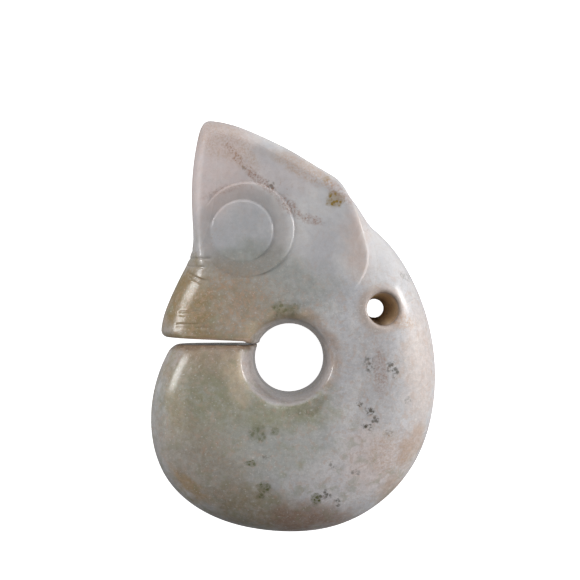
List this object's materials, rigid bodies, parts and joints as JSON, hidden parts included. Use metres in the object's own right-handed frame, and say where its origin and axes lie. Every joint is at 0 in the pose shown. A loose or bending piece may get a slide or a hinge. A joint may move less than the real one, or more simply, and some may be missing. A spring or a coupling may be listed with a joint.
{
  "type": "jade pig dragon pendant",
  "caption": "Coiled C-shaped stone pendant with an animal head, ringed eyes, a wrinkled snout, a slit mouth, a central hole and a suspension hole in the nape.",
  "frame": {"origin": "middle of the bottom of its box, lying on its flank", "axes": "+X towards the nape, away from the snout; +Y along the head, from the belly to the tips of the ears; +Z out of the upper flank, along the thickness"},
  "size_m": [0.1066, 0.1536, 0.0431],
  "materials": {
    "jade": "polished, waxy, mottled grey-green to tan with brown stains"
  },
  "bodies": {
    "root": {"pig_dragon": "jade"}
  },
  "joints": []
}
